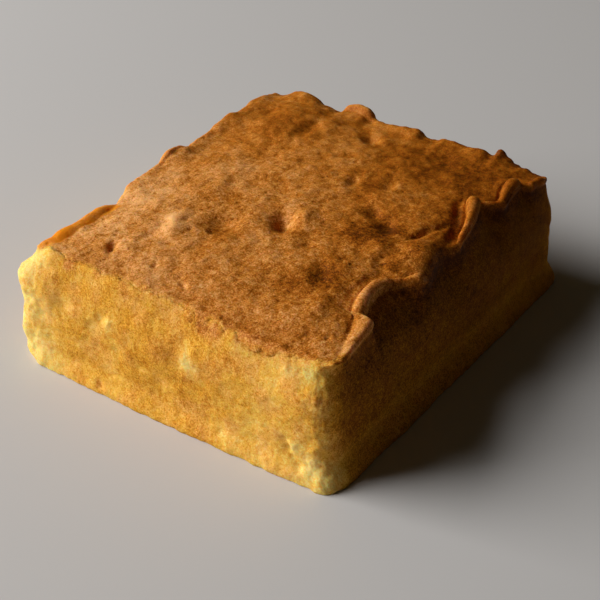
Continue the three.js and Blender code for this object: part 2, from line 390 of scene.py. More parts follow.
# mounds and dimples in the crust; a turn leans the long way to the left
crustMarks = [
    mark(-58, 74, 26, 24, 4.5),
    mark(1.3, -17.6, 4.8, 8.5, -5.2, 32),
    mark(8, -11, 5, 8, 1.6, 32),
    mark(-51.5, -75, 1.8, 4.4, -2.3, 30),
    mark(-46, -71, 3.5, 5, 0.9, 30),
    mark(-22, -31, 7, 9, -2.6, 30),
    mark(-21, -42, 1.6, 2.2, -1.1, 40),
    mark(-38, -46, 4.6, 11, 2.2, 28),
    mark(-43, -59, 3.5, 4, -1.0),
    mark(-31, -61, 3.2, 3.5, -1.0),
    mark(31, 12, 4.0, 5.5, -2.6, 42),
    mark(42, 5, 4.4, 7.5, -2.2, 30),
    mark(50, -12, 5, 8, 1.4, 25),
    mark(38, -40, 3.4, 9, -1.1, 33),
    mark(-11, 74, 4.2, 4.2, -3.2),
    mark(-2, 74, 5, 5, 0.9),
    mark(-42, 64, 4, 10, -2.0),
    mark(7, 31, 2.4, 5, -1.6, 15),
    mark(24, 37, 3.5, 6, -1.7, 15),
    mark(18, 12, 9, 9, -0.9),
    mark(-76, 30, 6, 12, -1.0),
    mark(-70, 68, 7, 8, -1.3),
    mark(-28, 40, 9, 14, 0.8),
    mark(59, 9, 2.0, 6.5, -2.6, -12),
    mark(62.5, 20, 1.8, 4, -1.6, -20),
    mark(68, -1, 7.0, 12, 4.8, -4),
    mark(62.8, 34, 2.8, 11, -2.4, 26),
    mark(69.5, 18, 2.2, 7, -2.6, 14),
    mark(57, -22, 3.5, 9, -1.2, 20),
    mark(30, -64, 9, 8, -1.0),
    mark(55, -66, 6, 10, 0.8),
    mark(-5, -81, 1.4, 3.4, -1.3, 52),
    mark(-25, -76, 1.0, 2.6, -1.0, 20),
    mark(-47, -69, 1.1, 1.1, -0.8),
    mark(-45, -34, 1.3, 1.5, -1.0),
    mark(-36, -41, 0.9, 2.0, -0.8, 20),
    mark(-29, -47, 1.0, 1.4, -0.8),
    mark(22, -28, 1.2, 1.6, -0.9),
    mark(68, -78, 1.2, 1.8, -0.9),
    mark(60, -81, 1.1, 1.3, -0.7),
    mark(48, 40, 9, 14, -1.0, 20),
    mark(30, 70, 12, 7, -1.0),
    mark(-55, 10, 12, 10, 0.9),
    mark(-60, -25, 8, 10, -0.7),
]

# parts of the crust that are baked more, or less if negative; some marks are painted shade in hollows
# and creases or painted light on lit slopes, as noted above them
bakeAndShadingPatches = [
    mark(-58, 60, 24, 26, 0.15),
    mark(50, 70, 32, 24, 0.18),
    mark(22, 80, 20, 14, 0.02),
    mark(-13, 62, 14, 14, -0.04),
    mark(-70, -27, 12, 26, -0.12),
    mark(-14, -44, 9, 12, 0.11, 30),
    # painted shade in a broad hollow of the crust
    mark(-22, -31, 7, 9, 0.08, 30),
    mark(31, 12, 6, 6, 0.16, 38),
    mark(41, 5, 5, 8, 0.20, 32),
    mark(38, -8, 10, 10, 0.26),
    mark(44, -44, 9, 14, 0.29, 33),
    mark(50, -66, 20, 10, 0.03),
    mark(44, -85, 12, 7, 0.05),
    mark(70, -84, 8, 8, -0.05),
    # painted shade in the crease inside a right lip
    mark(60, 30, 10, 16, 0.10),
    # painted light on the lit slope of the hill at the front left
    mark(-40, -46, 6.5, 10, -0.25, 28),
    # painted highlight beside the middle dimple, then painted shade inside it
    mark(6, -12, 5, 9, -0.09, 32),
    mark(1, -19, 4, 7, 0.13, 32),
    mark(66, -2, 6, 12, 0.13, -4),
    # painted shade in the creases beside the right lips
    mark(62, 34, 3.4, 12, 0.12, 26),
    mark(69, 17, 3, 8, 0.10, 14),
    # painted shade in the small dimple at the front left, then painted highlight on its far side
    mark(-52, -75, 1.8, 4.0, 0.06, 30),
    mark(-47, -71, 3, 4, -0.08, 30),
    mark(17, 31, 7, 14, 0.19),
    mark(5, 62, 12, 10, 0.10),
    mark(16, 74, 7, 7, 0.10),
    mark(49, 0, 6, 12, 0.17),
    mark(62, -22, 6, 8, 0.20),
    mark(66, 25, 5, 8, 0.10),
    mark(33, -57, 7, 8, 0.17),
    mark(-48, 7, 9, 9, -0.13),
    mark(-65, 8, 8, 10, 0.13),
    # painted light on the crest of a right lip
    mark(67, -42, 6, 9, -0.14),
    # painted shade on the mound's right slope, which falls away from the light
    mark(76, -4, 5, 14, 0.18),
    # more painted shade inside the middle dimple
    mark(1, -24, 4, 4, 0.10),
    mark(-12, -60, 7, 10, 0.08),
    mark(-22, -80, 16, 6, -0.08),
    mark(-56, -62, 16, 12, -0.03),
    mark(15, -90, 7, 6, 0.10),
]


def roundPlan(x, y):
    # a point of the square-cornered plan, moved so that the corners are round
    roundX, roundY = cornerShape[(1 if x >= 0 else -1, 1 if y >= 0 else -1)]["round"]
    dx = (abs(x) - (halfX - roundX)) / roundX
    dy = (abs(y) - (halfY - roundY)) / roundY
    if dx <= 0 or dy <= 0:
        return x, y
    reach = max(dx, dy)
    share = min(dx, dy) / reach * math.pi / 4
    angle = share if dx > dy else math.pi / 2 - share
    return (
        math.copysign(halfX - roundX * (1 - reach * math.cos(angle)), x),
        math.copysign(halfY - roundY * (1 - reach * math.sin(angle)), y),
    )


def gapAndPlace(side, x, y):
    # how far in from a side a point of the plan is, and where along the side
    if side == "right":
        return halfX - x, y
    if side == "left":
        return halfX + x, y
    if side == "back":
        return halfY - y, x
    return halfY + y, x


def lean(shape, z):
    # how far in a side stands at a height
    wall = shape["foot"] + (shape["wall"] - shape["foot"]) * smooth(z / cakeShape["footHeight"])
    above = (z - cakeShape["shoulderHeight"]) / (cakeShape["rimHeight"] - cakeShape["shoulderHeight"])
    return wall + (shape["rim"] - shape["wall"]) * smooth(above)


def cornerTuck(x, y, z):
    # how much is gone at the foot of a worn corner
    corner = cornerShape[(1 if x >= 0 else -1, 1 if y >= 0 else -1)]
    away = math.hypot(halfX - abs(x), halfY - abs(y))
    return corner["tuck"] * (1 - smooth(z / cakeShape["tuckHeight"])) * bell(away / (2 * corner["round"][0]))


def nearCorner(x, y, across, reach):
    # how near a point of the plan is to a front corner: the left one is across -1, the right one 1
    return bell(math.hypot(halfX - across * x, halfY + y) / reach)


def marked(marks, px, py):
    # what all the marks of a list add up to at a point
    total = 0.0
    for m in marks:
        dx = px - m["x"]
        dy = py - m["y"]
        widest = bellEnd * max(m["rx"], m["ry"])
        if abs(dx) > widest or abs(dy) > widest:
            continue
        across = (dx * math.cos(m["turn"]) + dy * math.sin(m["turn"])) / m["rx"]
        along = (dy * math.cos(m["turn"]) - dx * math.sin(m["turn"])) / m["ry"]
        total += m["rise"] * bell(math.hypot(across, along))
    return total


def crustHeight(x, y):
    # the domed crust with its banks and rounded rim, before marks and relief
    height = cakeShape["rimHeight"] + cakeShape["domeRise"] * (1 - (x / halfX) ** 4) * (1 - (y / halfY) ** 4)
    for side, shape in sideShape.items():
        gap, place = gapAndPlace(side, x, y)
        if gap > cakeShape["bankEnd"]:
            continue
        height += rimAt(side, round(place, 2))[1] * bell(gap / cakeShape["bankWidth"])
        if gap < shape["round"]:
            height -= shape["round"] - math.sqrt(max(shape["round"] ** 2 - (shape["round"] - gap) ** 2, 0))
    return height


def onCake(x, y, top, below):
    # a point of the plan, so far below the crust, moved to where the sides and folds put it
    z = top - below
    moveX = 0.0
    moveY = 0.0
    for side, shape in sideShape.items():
        gap, place = gapAndPlace(side, x, y)
        hold = 1 - smooth(gap / cakeShape["foldBlend"])
        if hold <= 0:
            continue
        push, _, reach = rimAt(side, round(place, 2))
        left = min(max(1 - below / reach, 0), 1)
        puffed = 1 - (1 - left ** cakeShape["foldRound"]) ** (1 / cakeShape["foldRound"])
        inset = lean(shape, z) + cornerTuck(x, y, z)
        inset += push * (smooth(left) + (puffed - smooth(left)) * shape["puff"])
        moveX += shape["inwards"][0] * inset * hold
        moveY += shape["inwards"][1] * inset * hold
    swell = nearCorner(x, y, -1, cornerSwell["reach"])
    if swell > 0.001:
        swell *= between(cornerSwell["stations"], z)[0]
        moveX += cornerSwell["way"][0] * swell
        moveY += cornerSwell["way"][1] * swell
    p = Vector((x + middle.x + moveX, y + middle.y + moveY, z))
    p.z += marked(crustMarks, p.x, p.y) * smooth(1 - below / cakeShape["markDepth"])
    return p


plainDepth = 20  # further down the sides, the way down needs no measuring over folds


def skinWay(x, y, top, below, p):
    # the way over the skin from the rim down to a point of the side, as a negative length
    if below > plainDepth:
        return -below
    return -(p - onCake(x, y, top, 0)).length


def sideWeights(x, y):
    # how much a point near the edge belongs to each side; far from them all it belongs to none
    blend = cakeShape["cornerBlend"]
    weights = {side: bell(max(gapAndPlace(side, x, y)[0], 0) / blend) for side in sideShape}
    total = sum(weights.values())
    if total < 1e-4:
        return None
    return {side: weight / total for side, weight in weights.items()}


def ofSides(weights, label):
    return sum(weight * sideShape[side][label] for side, weight in weights.items())


def fine(p, size, seed):
    # smooth noise from about -1 to 1, with lumps of one size
    return noise.noise(Vector((p.x / size + seed, p.y / size - seed, p.z / size + 0.5 * seed)))


# unevenness that is built up from lumps: how big each is, how high, and its seed
lumpShape = {
    "crust": [(16, 0.8, 1.3), (6.5, 0.6, 4.2), (3.1, 0.3, 9.4), (1.6, 0.12, 2.8)],
    "side": [(19, 0.9, 1.3)],
    "crumbs": [(7, 0.40, 4.2), (2.8, 0.26, 9.4), (1.5, 0.18, 2.8)],
    "torn": [(7, 1.1, 5.1), (3.4, 0.8, 6.2), (1.7, 0.3, 1.9)],
    "crustEdge": [(14, 1.1, 3.1), (4.5, 0.8, 5.5), (1.8, 0.5, 7.7)],
    "crustFringe": [(2.6, 0.9, 4.4), (1.2, 0.5, 8.1)],
}

crumbShape = {
    "flatter": (0.7, 0.7, 1.1),  # crumbs are a little wider than high
    "clumpSize": 3.2,
    "clumpHeight": 0.22,
    "clumpLevel": 0.42,  # as much of a clump stands out as goes in
}


def lumps(p, kind):
    return sum(height * fine(p, size, seed) for size, height, seed in lumpShape[kind])


def relief(p, share, coarse):
    # unevenness of the skin: lumpy crust and crumbly sides
    crust = lumps(p, "crust")
    if share > 0.99:
        return crust
    level = Vector([scale * along for scale, along in zip(crumbShape["flatter"], p)])
    clump = crumbShape["clumpLevel"] - noise.voronoi(level / crumbShape["clumpSize"])[0][0]
    crumbs = lumps(level, "crumbs") + crumbShape["clumpHeight"] * clump
    crumb = lumps(p, "side") + coarse * crumbs
    return crumb + (crust - crumb) * share


edgeWander = 0.12  # a wide edge of the crust wanders more than a narrow one


def crustShares(p, x, y, q, weights):
    # how much crust there is at a point, in form and in colour: 1 on the crust, 0 on the crumb; q is
    # the way in from the rim, or down if negative
    if weights is None:
        return 1.0, 1.0
    end = sum(
        weight * endAt(side, round(gapAndPlace(side, x, y)[1], 2)) for side, weight in weights.items()
    )

    def share(width, ragged):
        return smooth(0.5 + (q - end - ragged * (1 + edgeWander * width)) / width)

    ragged = lumps(p, "crustEdge")
    form = share(ofSides(weights, "spread"), ragged)
    colour = share(ofSides(weights, "fade"), ragged + lumps(p, "crustFringe"))
    return form, colour


lipSetting = {
    "widest": 12,
    "outerShare": 0.7,  # a lip reaches down the side by no more than this share of its width
    "creaseGap": 0.6,  # the crease runs just behind the lip
    "creaseWidth": 1.3,
}


def lipMove(x, y, q, weights):
    # how far the lips stand out and how far up, and how much painted light their crests get
    rise = 0.0
    lift = 0.0
    pale = 0.0
    if weights is None or abs(q) > lipSetting["widest"]:
        return rise, lift, pale
    for side, weight in weights.items():
        if weight < 0.02:
            continue
        _, place = gapAndPlace(side, x, y)
        for height, half, crease, ramp, paler, outer, upright in lipsAt(side, round(place, 2)):
            across = q / half if q > 0 else -q / min(outer, lipSetting["outerShare"] * half)
            if across < 1:
                rolled = math.sqrt(1 - across * across)
                if q > 0:
                    rolled += (1 - across - rolled) * ramp
                rise += weight * height * rolled * (1 - upright)
                lift += weight * height * rolled * upright
                # painted light along the crest, where the lip catches the light
                pale += weight * paler * smooth(2 * (1 - across))
            behind = (q - half - lipSetting["creaseGap"]) / lipSetting["creaseWidth"]
            rise -= weight * crease * bell(behind)
    return rise, lift, pale


def putInOrder(bm):
    # operators can list new edges and faces in any order, so they are put in the order of their points
    bm.verts.index_update()
    count = len(bm.verts)

    def rank(element):
        corners = sorted(v.index for v in element.verts)
        return (corners[0] * count + corners[1]) * count + corners[-1]

    bm.edges.sort(key=rank)
    bm.faces.sort(key=rank)


def addToScene(bm, name, material):
    putInOrder(bm)
    bmesh.ops.scale(bm, vec=(toMetres,) * 3, verts=bm.verts)
    for face in bm.faces:
        face.smooth = True
    mesh = bpy.data.meshes.new(name)
    bm.to_mesh(mesh)
    bm.free()
    mesh.materials.append(material)
    piece = bpy.data.objects.new(name, mesh)
    bpy.context.scene.collection.objects.link(piece)
    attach(piece, "root")
    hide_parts("butter_cake")
    print(name, len(mesh.vertices), "points")


finishSetting = {
    # colours by how much each part is baked, with painted light and shade added to that value: the crumb
    # from torn to golden brown, and the crust from tan to burnt
    "crumb": [
        (0.00, (0.98, 0.75, 0.245)),
        (0.14, (0.95, 0.625, 0.148)),
        (0.28, (0.91, 0.506, 0.082)),
        (0.40, (0.83, 0.412, 0.050)),
        (0.52, (0.71, 0.300, 0.020)),
        (0.66, (0.50, 0.185, 0.009)),
        (0.80, (0.31, 0.105, 0.007)),
        (1.00, (0.10, 0.030, 0.002)),
    ],
    "crust": [
        (0.24, (0.97, 0.490, 0.180)),
        (0.34, (0.87, 0.404, 0.130)),
        (0.44, (0.75, 0.314, 0.074)),
        (0.54, (0.63, 0.233, 0.036)),
        (0.64, (0.50, 0.160, 0.013)),
        (0.74, (0.37, 0.105, 0.005)),
        (0.86, (0.23, 0.058, 0.002)),
        (1.00, (0.10, 0.023, 0.001)),
    ],
    # painted glow: orange standing in for light shining through the thin left lip
    "paintedGlow": (0.92, 0.290, 0.010),  # the thin lip with the light behind it
    "gloss": 0.09,
    "roughness": 0.88,
    "polish": 0.3,  # how much smoother the crust is than the crumb
    "softness": 0.4,
    "softDepth": 0.004,
    "softColour": (1.0, 0.40, 0.10),
    "bumpDepth": 0.0008,
    "bumpStrength": 0.48,
    # how big things are, in millimetres
    "size": {
        "patches": 24, "mottle": 5.5, "bumps": 2.4, "crumbs": 0.7, "grains": 0.95, "specks": 0.55,
        "pits": 6.5, "pitted": 11, "cracks": 8, "crackWander": 3.5, "split": 6, "sheen": 1.5,
    },
    # how much browner they make the cake, or paler if negative; for bumps, crumbs, gaps and pits this
    # is painted shade where they lie low and painted light where they stand up
    "browner": {
        "patches": 0.09, "mottle": 0.15, "bumps": -0.25, "crumbs": -0.18, "gaps": 0.12, "specks": 0.13,
        "pits": 0.15, "cracks": -0.10,
    },
    # how high they stand, or how deep they go if negative, as a share of the bump's depth
    "raised": {"bumps": 0.4, "crumbs": 0.4, "gaps": -0.2, "pits": -0.7, "cracks": -0.5},
}


def bakedMaterial(name, setting):
    material = bpy.data.materials.new(name)
    material.use_nodes = True
    nodes = material.node_tree.nodes
    links = material.node_tree.links
    shader = nodes["Principled BSDF"]
    coords = nodes.new("ShaderNodeTexCoord")
    inMm = nodes.new("ShaderNodeMapping")
    inMm.inputs["Scale"].default_value = (1 / toMetres,) * 3
    links.new(coords.outputs["Object"], inMm.inputs["Vector"])
    size, browner, raised = (setting[key] for key in ("size", "browner", "raised"))

    def noiseNode(lump, detail=2.0, rough=0.5, output="Fac"):
        node = nodes.new("ShaderNodeTexNoise")
        node.inputs["Scale"].default_value = 1 / lump
        node.inputs["Detail"].default_value = detail
        node.inputs["Roughness"].default_value = rough
        links.new(inMm.outputs["Vector"], node.inputs["Vector"])
        return node.outputs[output]

    def cellNode(cell, output, feature="F1", vector=inMm.outputs["Vector"]):
        node = nodes.new("ShaderNodeTexVoronoi")
        node.feature = feature
        node.inputs["Scale"].default_value = 1 / cell
        links.new(vector, node.inputs["Vector"])
        return node.outputs[output]

    def maths(operation, a, b=0.0, c=0.0):
        node = nodes.new("ShaderNodeMath")
        node.operation = operation
        for socket, value in zip(node.inputs, (a, b, c)):
            if isinstance(value, (int, float)):
                socket.default_value = value
            else:
                links.new(value, socket)
        return node.outputs[0]

    def around(socket, amount):
        # a noise turned into plus or minus the amount
        return maths("MULTIPLY_ADD", socket, 2 * amount, -amount)

    def within(socket, start, end):
        # 1 where the value is at the start, falling to 0 at the end
        node = nodes.new("ShaderNodeMapRange")
        node.interpolation_type = "SMOOTHSTEP"
        node.inputs["From Min"].default_value = start
        node.inputs["From Max"].default_value = end
        node.inputs["To Min"].default_value = 1
        node.inputs["To Max"].default_value = 0
        links.new(socket, node.inputs["Value"])
        return node.outputs["Result"]

    def attribute(label):
        node = nodes.new("ShaderNodeAttribute")
        node.attribute_name = label
        return node.outputs["Fac"]

    bakeAndShading = attribute("bakeAndShading")
    crust = attribute("crust")
    paintedGlow = attribute("paintedGlow")
    cracked = attribute("cracked")
    # pits in some parts of the crust, painted browner inside as painted shade
    pit = maths("MULTIPLY", within(cellNode(size["pits"], "Distance"), 0.05, 0.24), crust)
    pit = maths("MULTIPLY", pit, within(noiseNode(size["pitted"], 1), 0.52, 0.42))
    # fine cracks, wandering and broken, where the crust has split
    bent = nodes.new("ShaderNodeVectorMath")
    bent.operation = "MULTIPLY_ADD"
    links.new(noiseNode(size["crackWander"], output="Color"), bent.inputs[0])
    bent.inputs[1].default_value = (size["crackWander"],) * 3
    links.new(inMm.outputs["Vector"], bent.inputs[2])
    splits = cellNode(size["cracks"], "Distance", "DISTANCE_TO_EDGE", bent.outputs["Vector"])
    crack = maths("MULTIPLY", within(splits, 0.0, 0.10), cracked)
    crack = maths("MULTIPLY", crack, within(noiseNode(size["split"], 1), 0.54, 0.44))
    # broad patches, and mottling that is stronger on the crust
    mottle = around(noiseNode(size["mottle"], 3, 0.55), browner["mottle"])
    mottle = maths("MULTIPLY", mottle, maths("MULTIPLY_ADD", crust, 0.4, 0.6))
    mottle = maths("ADD", around(noiseNode(size["patches"], 3), browner["patches"]), mottle)
    # specks with tints of their own, crumbs painted paler where they stand up as painted light, and
    # gaps between the grains painted browner as painted shade
    crumbs = noiseNode(size["crumbs"], 1)
    specks = nodes.new("ShaderNodeSeparateColor")
    links.new(cellNode(size["specks"], "Color"), specks.inputs["Color"])
    grainAndShading = maths("ADD", around(crumbs, browner["crumbs"]), around(specks.outputs["Red"], browner["specks"]))
    gaps = cellNode(size["grains"], "Distance")
    grainAndShading = maths("MULTIPLY_ADD", maths("SUBTRACT", gaps, 0.42), browner["gaps"], grainAndShading)
    # larger bumps, painted paler than what lies between as painted light on their tops, that show less
    # on the crumb
    bumps = noiseNode(size["bumps"])
    shown = maths("MULTIPLY_ADD", crust, 0.5, 0.5)
    grainAndShading = maths("MULTIPLY_ADD", around(bumps, browner["bumps"]), shown, grainAndShading)
    # grain, with its painted light and shade, and pits are only half as strong at the back
    place = nodes.new("ShaderNodeSeparateXYZ")
    links.new(inMm.outputs["Vector"], place.inputs["Vector"])
    strength = maths("MULTIPLY_ADD", within(place.outputs["Y"], -30, 90), 0.5, 0.5)
    pit = maths("MULTIPLY", pit, strength)
    bakedWithShading = maths("ADD", bakeAndShading, maths("MULTIPLY_ADD", grainAndShading, strength, mottle))
    bakedWithShading = maths("MULTIPLY_ADD", pit, browner["pits"], bakedWithShading)
    bakedWithShading = maths("MULTIPLY_ADD", crack, browner["cracks"], bakedWithShading)

    def rampNode(stops):
        node = nodes.new("ShaderNodeValToRGB")
        elements = node.color_ramp.elements
        while len(elements) < len(stops):
            elements.new(0.5)
        for element, (stop, colour) in zip(elements, stops):
            element.position = stop
            element.color = (*colour, 1)
        links.new(bakedWithShading, node.inputs["Fac"])
        return node.outputs["Color"]

    def mixed(factor, a, b):
        node = nodes.new("ShaderNodeMix")
        node.data_type = "RGBA"
        links.new(factor, node.inputs["Factor"])
        links.new(a, node.inputs["A"])
        if isinstance(b, tuple):
            node.inputs["B"].default_value = (*b, 1)
        else:
            links.new(b, node.inputs["B"])
        return node.outputs["Result"]

    colour = mixed(crust, rampNode(setting["crumb"]), rampNode(setting["crust"]))
    # the left lip's painted glow, an orange colour for light shining through it
    links.new(mixed(paintedGlow, colour, setting["paintedGlow"]), shader.inputs["Base Color"])
    shader.inputs["Specular IOR Level"].default_value = setting["gloss"]
    shader.inputs["Subsurface Weight"].default_value = setting["softness"]
    shader.inputs["Subsurface Radius"].default_value = setting["softColour"]
    shader.inputs["Subsurface Scale"].default_value = setting["softDepth"]
    rough = maths("MULTIPLY_ADD", crust, -setting["polish"], setting["roughness"])
    links.new(maths("ADD", rough, around(noiseNode(size["sheen"]), 0.1)), shader.inputs["Roughness"])
    bump = nodes.new("ShaderNodeBump")
    bump.inputs["Distance"].default_value = setting["bumpDepth"]
    bump.inputs["Strength"].default_value = setting["bumpStrength"]
    height = maths("MULTIPLY", bumps, raised["bumps"])
    height = maths("MULTIPLY_ADD", crumbs, raised["crumbs"], height)
    height = maths("MULTIPLY_ADD", gaps, raised["gaps"], height)
    height = maths("MULTIPLY", height, strength)
    height = maths("MULTIPLY_ADD", pit, raised["pits"], height)
    height = maths("MULTIPLY_ADD", crack, raised["cracks"], height)
    links.new(height, bump.inputs["Height"])
    links.new(bump.outputs["Normal"], shader.inputs["Normal"])
    return material


# a spot on a side: where, how big, how pale and how deep
def patch(x, y, z, size, pale, dent=0.0):
    return {"at": Vector((x, y, z)), "size": size, "pale": pale, "dent": dent}


# where the skin has come away and the pale crumb shows, or is stained brown where pale is negative;
# a negative dent bulges
sidePatches = [
    patch(-87, -101, 50, 3.5, 0.8, -0.5),
    patch(-84, -100, 36, 3, 0.7, 0.8),
    patch(-80, -100, 46, 3, 0.5, 0.7),
    patch(-84, -100, 14, 3, 0.7, 0.7),
    patch(-63, -99, 40, 4.5, 0.35, 1.3),
    patch(-77, -100, 30, 3.5, 0.5, 0.9),
    patch(-45, -100, 34, 3.5, 0.3, 0.9),
    patch(-40, -100, 39.5, 3, 0.3, 1.0),
    patch(-35.5, -100, 39.5, 2.2, 0.7, -0.5),
    patch(-35.5, -100, 36.5, 2.2, 0.7, -0.5),
    patch(-31, -100, 26, 3, 0.3, 0.7),
    patch(-18, -100, 22, 3, 0.35, 0.6),
    patch(-9, -98, 49, 3, 0.35, 0.8),
    patch(8, -98, 44, 3.5, 0.35, 1.0),
    patch(2, -100, 37, 3, -0.35, 0.8),
    patch(10, -100, 35, 4.6, 0.9, -0.3),
    patch(28, -102, 6.5, 3, 0.4, 0.8),
    patch(5, -102, 7.5, 3, 0.3, 0.8),
    patch(43, -100, 20, 3, 0.35, 0.6),
    patch(-42, -102, 4, 2.2, -0.4, 1.2),
    patch(61, -97, 53, 3.5, 0.85, -0.2),
    patch(70, -97, 53, 4.5, 0.7, 0.0),
    patch(60, -100, 18, 2.2, 0.2, 1.2),
    patch(62.5, -100, 14.5, 2.2, 0.2, 1.4),
    patch(65, -101, 11, 2.2, 0.2, 1.4),
    patch(68, -101, 8, 2.2, 0.2, 1.2),
    patch(66, -101, 16, 3.4, 0.8, -0.6),
    patch(74, -101, 9, 5, 0.85, -0.6),
    patch(80, -98, 4, 6, 0.75, -0.8),
    patch(78, -99, 38, 5, 0.25, 0.3),
    patch(79, -100, 24, 6, 0.3, 0.4),
    patch(76, -96, 50, 5, 0.35, 0.2),
    patch(80, 96, 30, 9, 0.4, 0.2),
    patch(-61, -94, 57.5, 3, -0.9),
    patch(15, -94, 54.5, 4, -0.9),
    patch(22, -94, 55, 3.5, -0.9),
    patch(8, -94, 55.5, 3, -0.6),
    patch(-27, -95, 55, 2.5, -0.4),
    patch(48, -94, 56, 5, -0.6),
    patch(60, -94, 56, 4, -0.4),
]

# where fine cracks show in the crust
crackedPatches = [
    mark(-28, 18, 13, 12, 1.0, 20),
    mark(-17, -6, 9, 8, 0.9),
    mark(6, 14, 9, 8, 0.5),
]

# how edges, corners and foot are finished
skinShape = {
    "crustDive": 1.2,  # how deep the crust's edge goes under the crumb
    "crumbDive": 1.6,  # how deep the crumb's edge goes under the crust
    "footHeight": 1.8,  # the lowest part is worn and uneven
    "footWorn": 0.2,
    "footRagged": 0.5,
    "proudWidth": 8,  # how far in from the rim the crust stands proud
    "tornReach": 15,  # how far the left near corner is torn open
    "tornPale": 0.9,
    "tornBlotch": 0.5,
    "wornReach": 12,  # how far the right near corner is lumpy
    "patchEnd": 2.5,  # past so many times its size a patch counts as nothing
}

# how much browner than its own skin a side gets, or paler if negative, from where on and over how
# far; to the left or downwards if that is negative
skinSlopes = {
    # painted light: the front is paler towards its foot
    "frontWall": (0.08, 10, 18),
    "frontRight": (-0.11, 8, 50),
    "frontLeft": (-0.10, -60, -16),
    # painted shade high on the right side, and painted light from the floor towards its foot
    "rightWall": (0.08, 22, 14),
    "rightFoot": (-0.18, 21, -10),
}

# the same round one place: how much, where and how wide
skinBands = {
    "frontMiddle": (0.03, 6, 24),
    "underCrust": (-0.07, -2.5, 3),
    # painted light: the right side is paler near the front corner, where light spills round it
    "nearCorner": (-0.16, -halfY, 11),
}

# how brown things are, with painted shade in the crust's hollows and below the right rim
bakeSetting = {
    "crust": 0.575,
    "rightwards": 0.0010,  # so much browner with each millimetre
    "backwards": 0.0008,
    "broad": 0.10,  # mottling, broad at the front left and fine at the back right
    "fineNear": 0.06,
    "fineFar": 0.13,
    # painted shade: the crust is browner where its lumps lie low
    "hollowShade": 0.06,
    "crumbHollows": 0.08,
    "crumbMottle": 0.08,
    "pale": 0.93,  # how much of the baked skin is gone where it is palest
    "stain": 0.2,
    "frontRim": 0.06,
    # painted shade on the crust where it runs down the right side, away from the light
    "shadeBelowRightRim": 0.2,
    "toasted": 0.35,  # how much of the crust's colour gets into the skin of the sides
}

# painted glow on the left lip, an orange colour standing in for light shining through it: broad near its
# front end and a thin line further back
paintedGlowShape = {
    "broadWidth": 7,
    "broadEnd": -41,
    "thinWidth": 0.5,
    "thinEnd": 40,
    "thinStrength": 0.6,
}

painted = ("bakeAndShading", "crust", "paintedGlow", "cracked")


def slope(label, value):
    amount, start, over = skinSlopes[label]
    return amount * smooth((value - start) / over)


def band(label, value):
    amount, centre, width = skinBands[label]
    return amount * bell((value - centre) / width)


def sideSkin(p, y, q, weights):
    # how brown the skin of the sides is at a point, with painted light and shade on the front and right
    # sides
    front = slope("frontWall", p.z) + slope("frontRight", p.x) + slope("frontLeft", p.x)
    front += band("frontMiddle", p.x) + band("underCrust", q)
    right = slope("rightWall", p.z) + slope("rightFoot", p.z) + band("nearCorner", y)
    return ofSides(weights, "skin") + weights["front"] * front + weights["right"] * right


def patched(p):
    # how pale, how stained and how dented the sides are at a point
    pale = 0.0
    stain = 0.0
    dent = 0.0
    for spot in sidePatches:
        away = (p - spot["at"]).length / spot["size"]
        if away < skinShape["patchEnd"]:
            near = bell(away * (1 + 0.45 * fine(p, 3.5, 2.2)))
            pale = max(pale, spot["pale"] * near)
            stain = max(stain, -spot["pale"] * near)
            dent += spot["dent"] * bell(away)
    return pale, stain, dent


def crustBakeAndShading(p, rough):
    # browner to the right and to the back, with painted shade in the hollows; far is 1 at the right and the
    # back
    setting = bakeSetting
    far = smooth((p.x + 0.6 * p.y + 60) / 170)
    bakeAndShading = setting["crust"] + setting["rightwards"] * p.x + setting["backwards"] * p.y
    bakeAndShading += marked(bakeAndShadingPatches, p.x, p.y) + setting["broad"] * (1 - far) * fine(p, 13, 8.6)
    mottle = setting["fineNear"] + (setting["fineFar"] - setting["fineNear"]) * far
    return bakeAndShading + mottle * fine(p, 7, 12.1) - setting["hollowShade"] * rough


def paintedGlowAt(p, q, weights):
    # how much painted glow a point of the left lip gets
    if not weights or weights["left"] < 0.05:
        return 0.0
    broad = 1 - smooth((q - paintedGlowShape["broadWidth"]) / 2)
    thin = paintedGlowShape["thinStrength"] * (1 - smooth((q - paintedGlowShape["thinWidth"]) / 1.8))
    thin *= smooth((paintedGlowShape["thinEnd"] - p.y) / 40)
    paintedGlow = thin + (broad - thin) * smooth((paintedGlowShape["broadEnd"] - p.y) / 5)
    return weights["left"] * smooth((q + 4) / 3) * paintedGlow * (0.85 + 0.5 * fine(p, 5, 3.3))


